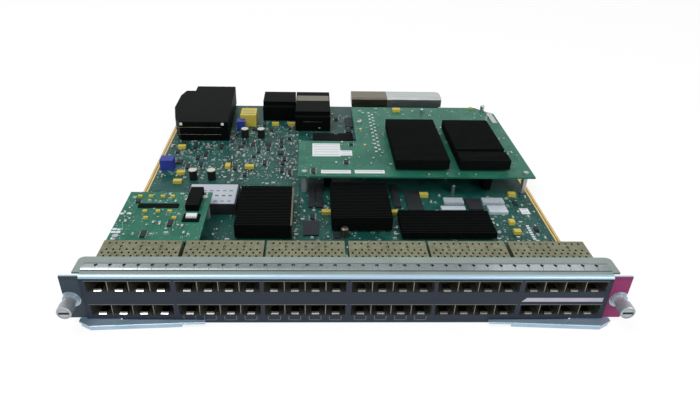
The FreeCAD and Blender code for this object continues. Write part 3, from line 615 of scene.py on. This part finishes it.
for side in ("left", "right"):
    node = f"captive_screw_{side}"
    (x0, y0, z0), (x1, y1, z1) = span(node)
    x, z = (x0 + x1) / 2, (z0 + z1) / 2
    knob = (x1 - x0) / 2
    skirt = y0 + KNOB_LONG
    screw = Stock()
    profile = [(DISH_RADIUS, y0 + DISH_DEEP, 0), (DISH_RADIUS, y0, 0), (knob - 0.7, y0, 0),
               (knob - 0.1, y0 + 0.5, 0), (knob, y0 + 0.9, KNURL_DEEP), (knob, skirt - 0.9, KNURL_DEEP),
               (knob - 0.3, skirt, 0), (BORE, skirt, 0), (BORE, y0 + KNOB_WALL, 0),
               (SHANK, y0 + KNOB_WALL, 0), (SHANK, COLLAR_FRONT, 0), (COLLAR, COLLAR_FRONT, 0),
               (COLLAR, COLLAR_BACK, 0), (SHANK, COLLAR_BACK, 0), (SHANK, STUD_START, 0),
               (STUD, STUD_START, 0), (STUD, y1, 0)]
    screw.loft([turned_ring(x, z, radius, y, 2 * KNURLS, knurl) for radius, y, knurl in profile])
    pad = DISH_RADIUS - PAD_GAP
    for turn in (0, math.pi):
        edge = math.asin(SLOT_HALF / pad)
        arc = [edge + (math.pi - 2 * edge) * i / PAD_STEPS + turn for i in range(PAD_STEPS + 1)]
        rim = [(x + pad * math.cos(angle), z + pad * math.sin(angle)) for angle in arc]
        rings = [[(px, y, pz) for px, pz in rim] for y in (y0 + 0.75, y0 + 0.15)]
        screw.loft(rings)
    # A dark sheet lies on the floor of the slot: painted shade in the recess.
    floor_half = DISH_RADIUS - 0.4
    screw.box((x - floor_half, y0 + 0.66, z - SLOT_HALF), (x + floor_half, y0 + 0.7, z + SLOT_HALF), 1)
    screw.make(f"thumb_screw_{side}", [screw_plate, slot_shade_plate], body=f"screw_{side}", nodes=[node],
               smooth=True, slot="screw_metal")
for node in ("screw_ferrules", "lever_pins", "card_screws", "bracket_screws", "standoffs"):
    dress(node, screw_plate)

# --- Screw springs ---
# Round music-wire coils between each knob and its ferrule.

spring_plate = plated("spring_plate", shade(206, 210, 212), shade(150, 156, 160), 0.28)
WIRE_SIDES = 8
SPRING_STEPS = 72
SPRING_TURNS = 3
WIRE_RADIUS = 0.35
SCREW_TRAVEL = 5.0
for side in ("left", "right"):
    node = f"screw_spring_{side}"
    (x0, y0, z0), (x1, y1, z1) = span(node)
    x, z = (x0 + x1) / 2, (z0 + z1) / 2
    coil = (x1 - x0) / 2 - WIRE_RADIUS
    start, long = y0 + WIRE_RADIUS, y1 - y0 - 2 * WIRE_RADIUS
    wire = Stock()
    rings = []
    for step in range(SPRING_STEPS + 1):
        angle = 2 * math.pi * SPRING_TURNS * step / SPRING_STEPS
        ring = []
        for i in range(WIRE_SIDES):
            around = 2 * math.pi * i / WIRE_SIDES
            reach = coil + WIRE_RADIUS * math.cos(around)
            ring.append((x + reach * math.cos(angle), start + long * step / SPRING_STEPS
                         + WIRE_RADIUS * math.sin(around), z + reach * math.sin(angle)))
        rings.append(ring)
    wire.loft(rings)
    piece = wire.make(f"spring_coil_{side}", [spring_plate], body=f"spring_{side}", nodes=[node],
                      smooth=True, slot="spring_metal")
    free_length = y1 - y0
    knob_end = place(x, y0, z)
    (free_length - SCREW_TRAVEL) / free_length
    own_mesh(piece)

# --- Ejector levers ---
# Folded from blue-passivated steel sheet, in one finish all over.

lever_plate = plated("lever_plate", shade(190, 214, 230), shade(132, 160, 178), 0.3, (0.06, 1, 1), 0.001, 0.6)
for side in ("left", "right"):
    dress(f"ejector_lever_{side}", lever_plate)

# --- Circuit boards ---
# Glass-epoxy laminate under green solder mask: copper runs show through it as paler lines, with
# plated holes dotted between them. The raised cards have a brighter mask than the main board.


RUNS_PER_METRE = 900.0
RUN_GAP = 0.62


def board_mask(name, dark, light, run, pad_tone):
    """Solder mask over copper: patches of parallel runs, each patch along X or Y, and vias."""
    material, root = new_tree(name)
    cells = root.node("ShaderNodeTexVoronoi", {"feature": "F1", "distance": "CHEBYCHEV"}, {
        "Vector": spot(root), "Scale": 60.0}, output=1)
    pick = root.node("ShaderNodeSeparateXYZ", {}, {0: cells})
    kind, amount = pick, Wire(root.tree, pick.socket.node.outputs[1])
    whole = root.node("ShaderNodeSeparateXYZ", {}, {0: spot(root)})
    x, y = whole, Wire(root.tree, whole.socket.node.outputs[1])
    across = root.maths("FRACT", x * RUNS_PER_METRE) > RUN_GAP
    along = root.maths("FRACT", y * RUNS_PER_METRE) > RUN_GAP
    turn = kind > 0.5
    runs = (turn * across + (1 - turn) * along) * (amount > 0.45)
    holes = root.node("ShaderNodeTexVoronoi", {"feature": "F1"}, {
        "Vector": spot(root, (1, 1, 0)), "Scale": 320.0})
    vias = (holes < 0.16) * (noise(root, 0.02) > 0.5)
    cloud = noise(root, 0.03)
    mask = cloud.mix(dark, light)
    traced = (runs * 0.55).mix(mask, run)
    color = (vias * 0.8).mix(traced, pad_tone)
    return finish(root, material, color, 0.34 - vias * 0.1, vias * 0.5, runs + vias, 0.00003,
                  Specular_IOR_Level=0.12)


main_mask = board_mask("main_mask", shade(12, 56, 52), shade(26, 82, 75), shade(52, 118, 108),
                       shade(176, 190, 170))
card_mask = board_mask("card_mask", shade(26, 90, 72), shade(42, 112, 92), shade(62, 134, 112),
                       shade(190, 204, 180))
dress("main_board", main_mask)
dress("forwarding_card", card_mask)
dress("side_card", card_mask)

# --- Heat sinks ---
# Black-anodised extrusions: a base and thin fins across the card, cut through once if wanted.

anodised_material, anodised_root = new_tree("black_anodise")
anodised_grain = noise(anodised_root, 0.0009, (0.08, 1, 1))
black_anodise = finish(anodised_root, anodised_material, anodised_grain.mix(
    shade(6, 9, 8), shade(17, 22, 21)), anodised_grain * 0.25 + 0.4, 0.0, anodised_grain, 0.00001,
    Specular_IOR_Level=0.03)
FIN_PITCH = 2.5
FIN_THICK = 0.9
SINK_BASE = 2.0
CHANNEL_HALF = 2.5
CHANNEL_AT = 203


def sink(node, cut_at=None):
    """Fins along X on a base; cut_at is the middle of a channel that parts them."""
    (x0, y0, z0), (x1, y1, z1) = span(node)
    metal = Stock()
    metal.box((x0, y0, z0), (x1, y1, z0 + SINK_BASE))
    count = int((y1 - y0 - FIN_THICK) / FIN_PITCH) + 1
    step = (y1 - y0 - FIN_THICK) / (count - 1)
    for index in range(count):
        y = y0 + index * step
        if cut_at and abs(y + FIN_THICK / 2 - cut_at) < CHANNEL_HALF:
            continue
        metal.box((x0, y, z0 + SINK_BASE - 0.05), (x1, y + FIN_THICK, z1))
    metal.make(node + "_fins", [black_anodise], nodes=[node], slot="sink_black")


for node in ("heat_sink_left", "heat_sink_middle", "heat_sink_right", "card_heat_sink_left"):
    sink(node)
sink("card_heat_sink_right", CHANNEL_AT)

# --- Packages and blocks that the frame holds ---
# Moulded epoxy chips, metal cans, capacitors, the supply module and the backplane mouldings.

chip_epoxy = moulded("chip_epoxy", shade(52, 56, 60), shade(26, 29, 32), 0.5)
can_metal = plated("can_metal", shade(226, 234, 244), shade(196, 206, 218), 0.3, EVEN, metal=0.4)
yellow_moulding = moulded("yellow_moulding", shade(214, 200, 96), shade(176, 158, 60), 0.35)
blue_dip = moulded("blue_dip", shade(58, 76, 170), shade(30, 42, 116), 0.25)
for node in ("port_processors", "forwarding_processors", "memory_chips"):
    dress(node, chip_epoxy)
dress("crystal_cans", can_metal)
SLEEVE_GAP = 0.5
capacitor_skin, capacitor_root = new_tree("capacitor_skin")
capacitor_grain = noise(capacitor_root, 0.0008)
capacitor_top = span("round_capacitors")[1][2]
capacitor_bare = position(capacitor_root, 2) > capacitor_top - SLEEVE_GAP
finish(capacitor_root, capacitor_skin, capacitor_bare.mix(
    capacitor_grain.mix(shade(14, 16, 18), shade(30, 34, 38)),
    capacitor_grain.mix(shade(176, 176, 164), shade(222, 222, 210))),
    capacitor_grain * 0.2 + 0.3, capacitor_bare * 0.5, capacitor_grain, 0.00001, Specular_IOR_Level=0.2)
dress("round_capacitors", capacitor_skin)
for node in ("power_transformer", "tantalum_capacitors"):
    dress(node, yellow_moulding)
dress("film_capacitors", blue_dip)
label_white = moulded("label_white", shade(232, 236, 238), shade(206, 212, 216), 0.5)
dress("power_module", chip_epoxy)
for node in ("mezzanine_connectors", "power_connector", "fabric_connector_left",
             "fabric_connector_right", "bus_connector_body"):
    dress(node, black_moulding)
SHELL_SPLIT_X = 65.0
shell_plate, shell_root = new_tree("shell_plate")
shell_grain = noise(shell_root, 0.0008, ROLLED)
# Towards its left the shell is darker and browner, and brighter towards its right.
shell_tone = (position(shell_root, 0) > SHELL_SPLIT_X).mix(
    shell_grain.mix(shade(78, 74, 62), shade(134, 130, 114)),
    shell_grain.mix(shade(140, 146, 144), shade(212, 220, 220)))
finish(shell_root, shell_plate, shell_tone, shell_grain * 0.2 + 0.25, 1.0, shell_grain, FINE_BUMP)
dress("bus_connector_shell", shell_plate)

# --- Labels and odd blocks ---
# Blank paper labels, stuck on and marked with plain grey bars, and the larger blocks, posts and
# clips that are soldered or pressed on the boards.

paper_mark = moulded("paper_mark", shade(116, 122, 132), shade(86, 92, 102), 0.5)
module_paper = moulded("module_paper", shade(196, 202, 212), shade(160, 168, 180), 0.5)
tan_metal = plated("tan_metal", shade(220, 200, 146), shade(170, 142, 92), 0.35, EVEN, metal=0.5)
PAPER = 0.08
PRINT = 0.03
WHITE, MARK, COVER = range(3)
board_top = span("main_board")[1][2]
deck = span("forwarding_card")[1][2]
side_deck = span("side_card")[1][2]
DECK_LABELS = ((-25.5, 212.0, 2.6, 241.8), (2.6, 214.0, 14.2, 225.6), (-17.3, 176.0, 10.8, 182.7),
               (14.5, 176.4, 42.8, 183.1))
SIDE_LABELS = ((-182.2, 102.8), (-176.5, 102.9), (-177.7, 78.7), (-183.0, 79.4), (-184.1, 75.1),
               (-177.9, 75.1), (-179.4, 66.0))
MAIN_LABELS = ((165.0, 137.0, 173.0, 147.0),)
papers = Stock()
for places, level in ((DECK_LABELS, deck), (MAIN_LABELS, board_top)):
    for x0, y0, x1, y1 in places:
        papers.box((x0, y0, level), (x1, y1, level + PAPER), WHITE)
        lines = int((y1 - y0) / 5)
        for line in range(lines):
            y = y0 + (line + 0.6) * (y1 - y0) / lines
            papers.box((x0 + 1.5, y, level + PAPER), (x1 - 1.5, y + 0.5, level + PAPER + PRINT), MARK)
SMALL_WIDE, SMALL_DEEP, SMALL_INSET = 3.6, 2.6, 0.4
side_left = span("side_card")[0][0]
for x, y in SIDE_LABELS:
    left = max(x - SMALL_WIDE / 2, side_left + SMALL_INSET)
    papers.box((left, y - SMALL_DEEP / 2, side_deck),
               (left + SMALL_WIDE, y + SMALL_DEEP / 2, side_deck + PAPER), WHITE)
(mx0, my0, _), (mx1, my1, mz1) = span("power_module")
COVER_INSET = 1.5
papers.box((mx0 + COVER_INSET, my0 + COVER_INSET, mz1),
           (mx1 - COVER_INSET, my1 - COVER_INSET, mz1 + PAPER), COVER)
for column in range(5):
    for row in range(3):
        x = mx1 - 5 - column * 6.0
        y = my0 + 5 + row * (my1 - my0 - 10) / 3
        papers.box((x - 3.2, y, mz1 + PAPER), (x, y + 1.6 + row % 2, mz1 + PAPER + PRINT), MARK)
(tx0, ty0, _), (tx1, ty1, tz1) = span("power_transformer")
for row in range(2):
    y = ty0 + (row + 0.7) * (ty1 - ty0) / 3
    papers.box((tx0 + 2, y, tz1), (tx1 - 2, y + 1.4, tz1 + PRINT), MARK)
papers.make("paper_labels", [label_white, paper_mark, module_paper], slot="board_green")

BLACK, YELLOW, TAN, SILVER, PALE = range(5)
# Each block: its corners in x and y, the level it stands on, its height and its finish.
BLOCKS = [(-131.0, 107.0, -120.0, 138.0, side_deck, 6.0, BLACK),
          (-131.0, 90.0, -117.5, 101.0, side_deck, 1.2, BLACK),
          (-128.4, 94.0, -119.7, 99.3, side_deck + 1.2, 1.8, PALE),
          (-171.7, 112.0, -138.0, 118.0, side_deck, 0.9, BLACK),
          (-25.0, 277.0, 19.0, 295.0, board_top, 8.0, BLACK),
          (67.0, 328.0, 75.6, 335.0, deck, 3.0, YELLOW),
          (158.5, 339.0, 162.0, 342.0, deck, 2.0, YELLOW),
          (175.0, 296.0, 180.5, 326.0, deck, 1.6, SILVER)]
for y, columns in ((130.0, (-173.7, -164.5, -154.3, -145.9)), (105.4, (-164.0, -153.3, -143.5)),
                   (95.0, (-161.0, -138.0))):
    BLOCKS += [(x - 1.8, y - 1.1, x + 1.8, y + 1.1, side_deck, 1.9, YELLOW) for x in columns]
# Two rows of pale chip parts: one on the raised card, staggered, and one on the main board.
for step in range(23):
    x, y = 37.5 + 3.6 * (step % 2), 222.0 + 4.6 * step
    BLOCKS.append((x, y, x + 2.4, y + 1.5, deck, 0.9, PALE))
for step in range(7):
    y = 95.0 + 3.4 * step
    BLOCKS.append((162.0, y, 164.6, y + 1.6, board_top, 0.9, PALE))
(_, sy0, _), (sx1, sy1, sz1) = span("heat_sink_left")
BLOCKS.append((sx1 + 0.4, sy0 + 1, sx1 + 1.8, sy1 - 1, board_top, sz1 - board_top - 1, SILVER))
(fx0, fy0, _), (fx1, _, fz1) = span("fabric_connector_right")
BLOCKS.append((fx0 + 1, 359.5, fx1 - 1, 376.0, fz1, 0.12, SILVER))
odd = Stock()
for x0, y0, x1, y1, level, high, kind in BLOCKS:
    odd.box((x0, y0, level), (x1, y1, level + high), kind)
(hx0, hy0, _), (hx1, _, _) = span("power_connector")
for z in (22.6, 14.2):
    odd.box((hx0 + 8, hy0 - 0.1, z - 0.25), (hx1 - 8, hy0, z + 0.25), SILVER)
for x in (-169.0, -124.0):
    odd.box((x - 1.4, hy0 - 0.7, 25.4), (x + 1.4, hy0, 28.0), PALE)
odd.box((fx0 + 9, fy0 - 0.1, 18.0), (fx1 - 9, fy0, 18.7), SILVER)
# Turned posts: where each stands, its radius, its foot, its top and its finish.
POSTS = (
    (2.0, 100.0, 3.4, board_top, 16.0, SILVER), (109.4, 177.2, 2.0, board_top, 15.0, SILVER),
    (28.2, 303.0, 1.6, deck, deck + 0.8, TAN), (26.6, 279.5, 1.6, deck, deck + 0.8, TAN),
    (28.5, 239.0, 1.6, deck, deck + 0.8, TAN), (100.4, 326.8, 1.8, deck, deck + 5.0, SILVER),
    (171.5, 331.6, 2.4, deck, 35.0, SILVER), (-79.0, sy1 + 1.4, 0.7, board_top, 21.0, TAN),
    (-58.5, sy1 + 1.4, 0.7, board_top, 21.0, TAN))
for x, y, radius, foot, top, kind in POSTS:
    odd.can(x, y, [(radius, foot), (radius, top - radius * 0.3), (radius * 0.7, top)], kind=kind)
odd.make("odd_blocks", [black_moulding, yellow_moulding, tan_metal, shell_plate, label_white],
         bevel=0.12, slot="can_metal")

# --- Plated board edges ---
# Two gold-plated strips along each side of the main board, where it slides in the chassis.

gold_plate = plated("gold_plate", shade(236, 206, 138), shade(190, 152, 82), 0.3, (1, 0.05, 1))
PLATING = 0.06
EDGE_STRIPS = ((180.6, 182.2), (183.0, 184.9))
PLATED_FROM, PLATED_TO = 52, 386
strips = Stock()
for sign in (-1, 1):
    for inner, outer in EDGE_STRIPS:
        low, high = sorted((sign * inner, sign * outer))
        strips.box((low, PLATED_FROM, board_top), (high, PLATED_TO, board_top + PLATING))
strips.make("edge_plating", [gold_plate], slot="board_green")

# --- Small surface-mounted parts ---
# Chip resistors, ceramic capacitors and small-outline chips, soldered where the board is free.
# They are strewn by a seeded draw that keeps clear of everything else on the board.

draw = random.Random(48)
ceramic = moulded("ceramic_pale", shade(206, 208, 196), shade(150, 158, 156), 0.4)
resistor_black = moulded("resistor_glaze", shade(40, 42, 48), shade(20, 22, 26), 0.3)
solder = plated("solder", shade(226, 230, 232), shade(170, 176, 182), 0.34, EVEN)
ink_white = moulded("ink_white", shade(214, 222, 218), shade(180, 192, 186), 0.6)


class Ground:
    """The free area of one board: rectangles that are taken, in drawing millimetres."""

    def __init__(self, top, taken):
        self.top, self.taken = top, list(taken)

    def claim(self, x, y, wide, deep, margin=0.4):
        """Whether a rectangle about (x, y) was free; it is then taken."""
        box = (x - wide / 2 - margin, y - deep / 2 - margin, x + wide / 2 + margin, y + deep / 2 + margin)
        if any(box[0] < other[2] and other[0] < box[2] and box[1] < other[3] and other[1] < box[3]
               for other in self.taken):
            return False
        self.taken.append(box)
        return True


def footprints(nodes):
    boxes = []
    for node in nodes:
        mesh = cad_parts[node].data
        corners = [vertex.co for vertex in mesh.vertices]
        parents = list(range(len(corners)))

        def root_of(index):
            while parents[index] != index:
                parents[index] = parents[parents[index]]
                index = parents[index]
            return index
        spots = {}
        for index, corner in enumerate(corners):
            key = (round(corner.x, 6), round(corner.y, 6), round(corner.z, 6))
            if key in spots:
                parents[root_of(index)] = root_of(spots[key])
            else:
                spots[key] = index
        for edge in mesh.edges:
            parents[root_of(edge.vertices[0])] = root_of(edge.vertices[1])
        islands = {}
        for index, corner in enumerate(corners):
            islands.setdefault(root_of(index), []).append(corner)
        for island in islands.values():
            boxes.append((min(c.x for c in island) / MM, (min(c.y for c in island) - FACE) / MM,
                          max(c.x for c in island) / MM, (max(c.y for c in island) - FACE) / MM))
    return boxes


ON_MAIN = ["heat_sink_left", "heat_sink_middle", "heat_sink_right", "port_processors", "memory_chips",
           "crystal_cans", "power_module", "power_transformer", "film_capacitors", "round_capacitors",
           "tantalum_capacitors", "mezzanine_connectors", "power_connector", "fabric_connector_left",
           "fabric_connector_right", "bus_connector_body", "standoffs", "bracket_screws"]
odd_places = {level: [block[:4] for block in BLOCKS if block[4] == level]
              for level in (board_top, deck, side_deck)}
main_ground = Ground(board_top, footprints(ON_MAIN) + [(-190, 0, 190, 50)] + odd_places[board_top]
                     + list(MAIN_LABELS))
card_ground = Ground(deck, footprints(["card_heat_sink_left", "card_heat_sink_right",
                                               "card_screws"]) + [(-60, 246, 21.5, 400)]
                     + odd_places[deck] + list(DECK_LABELS))
side_ground = Ground(side_deck, footprints(["card_screws"]) + odd_places[side_deck])

passives, chips, leads, ink = Stock(), Stock(), Stock(), Stock()


CAP_SHARE = 0.22
LEAD_REACH = 1.1
LEAD_HIGH = 0.35
LEAD_SHARE = 0.2


def passive(ground, x, y, wide, deep, high, kind):
    """A chip part with a metal cap on each end of its longer side."""
    if not ground.claim(x, y, wide, deep):
        return
    top, ends = ground.top, CAP_SHARE
    if wide >= deep:
        cap = wide * ends
        passives.box((x - wide / 2 + cap, y - deep / 2, top),
                     (x + wide / 2 - cap, y + deep / 2, top + high), kind)
        for low in (x - wide / 2, x + wide / 2 - cap):
            passives.box((low, y - deep / 2, top), (low + cap, y + deep / 2, top + high * 1.03), 2)
    else:
        cap = deep * ends
        passives.box((x - wide / 2, y - deep / 2 + cap, top),
                     (x + wide / 2, y + deep / 2 - cap, top + high), kind)
        for low in (y - deep / 2, y + deep / 2 - cap):
            passives.box((x - wide / 2, low, top), (x + wide / 2, low + cap, top + high * 1.03), 2)


def small_chip(ground, x, y, wide, deep, high=1.5, pitch=1.27, four_sides=False):
    """A moulded chip with gull-wing leads on its long sides, or on all four."""
    spare = 2 * LEAD_REACH
    if not ground.claim(x, y, wide + spare, deep + (spare if four_sides else 0)):
        return
    top, half = ground.top, pitch * LEAD_SHARE
    chips.box((x - wide / 2, y - deep / 2, top + 0.12), (x + wide / 2, y + deep / 2, top + high))
    count = max(2, int((deep - 0.6) / pitch) + 1)
    for index in range(count):
        along = y + (index - (count - 1) / 2) * pitch
        for side in (-1, 1):
            near, far = sorted((x + side * wide / 2, x + side * (wide / 2 + LEAD_REACH)))
            leads.box((near, along - half, top), (far, along + half, top + LEAD_HIGH))
    if four_sides:
        count = max(2, int((wide - 0.6) / pitch) + 1)
        for index in range(count):
            along = x + (index - (count - 1) / 2) * pitch
            for side in (-1, 1):
                near, far = sorted((y + side * deep / 2, y + side * (deep / 2 + LEAD_REACH)))
                leads.box((along - half, near, top), (along + half, far, top + LEAD_HIGH))


def ink_frame(ground, x, y, wide, deep, line=0.18):
    """A printed outline round a part's place."""
    x0, y0, x1, y1 = x - wide / 2, y - deep / 2, x + wide / 2, y + deep / 2
    for low, high in (((x0, y0), (x1, y0 + line)), ((x0, y1 - line), (x1, y1)),
                      ((x0, y0), (x0 + line, y1)), ((x1 - line, y0), (x1, y1))):
        ink.box((*low, ground.top), (*high, ground.top + PRINT))


CHIP_CLEAR = 5
CHIP_SIZES = ((3.9, 4.9), (3.9, 8.7), (3.9, 9.9), (7.0, 7.0), (4.4, 6.5))
FRAMED_SHARE = 0.18
FRAME_SPARE = 1.2
# Length, width and height of a chip part, and whether it is ceramic (0) or a resistor (1).
PASSIVE_SIZES = ((1.6, 0.8, 0.5, 1), (1.6, 0.8, 0.8, 0), (1.0, 0.5, 0.4, 1), (2.0, 1.25, 0.9, 0),
                 (3.2, 1.6, 1.2, 0))


def strew(ground, x0, y0, x1, y1, chip_count, passive_count):
    """Fill an area with small chips and then with chip resistors and capacitors."""
    for _ in range(chip_count):
        x = draw.uniform(x0 + CHIP_CLEAR, x1 - CHIP_CLEAR)
        y = draw.uniform(y0 + CHIP_CLEAR, y1 - CHIP_CLEAR)
        wide, deep = draw.choice(CHIP_SIZES)
        small_chip(ground, x, y, wide, deep, four_sides=wide == deep)
    for _ in range(passive_count):
        wide, deep, high, kind = draw.choice(PASSIVE_SIZES)
        if draw.random() < 0.5:
            wide, deep = deep, wide
        x, y = draw.uniform(x0, x1), draw.uniform(y0, y1)
        passive(ground, round(x * 2) / 2, round(y * 2) / 2, wide, deep, high, kind)
        if draw.random() < FRAMED_SHARE:
            ink_frame(ground, round(x * 2) / 2, round(y * 2) / 2, wide + FRAME_SPARE, deep + FRAME_SPARE)


# Each area: its board, its corners in x and y, and how many chips and chip parts are tried.
AREAS = ((main_ground, -178, 200, -42, 345, 90, 1500),
         (main_ground, -110, 52, -40, 200, 16, 220),
         (main_ground, -44, 52, 48, 170, 16, 420),
         (main_ground, 132, 52, 178, 170, 10, 240),
         (main_ground, 50, 52, 130, 170, 4, 110),
         (main_ground, -40, 200, 180, 345, 20, 160),
         (main_ground, -40, 345, 178, 372, 8, 120),
         (card_ground, -36, 173, 180, 338, 10, 240),
         (side_ground, -181, 65, -116, 136, 5, 130))
for area in AREAS:
    strew(*area)
passives.make("chip_passives", [ceramic, resistor_black, solder], slot="chip_plastic")
chips.make("small_chips", [chip_epoxy], bevel=0.15, slot="chip_plastic")
leads.make("chip_leads", [solder], slot="can_metal")
ink.make("printed_frames", [ink_white], slot="board_green")

# --- End of the build: the box round everything shown ---

low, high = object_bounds()
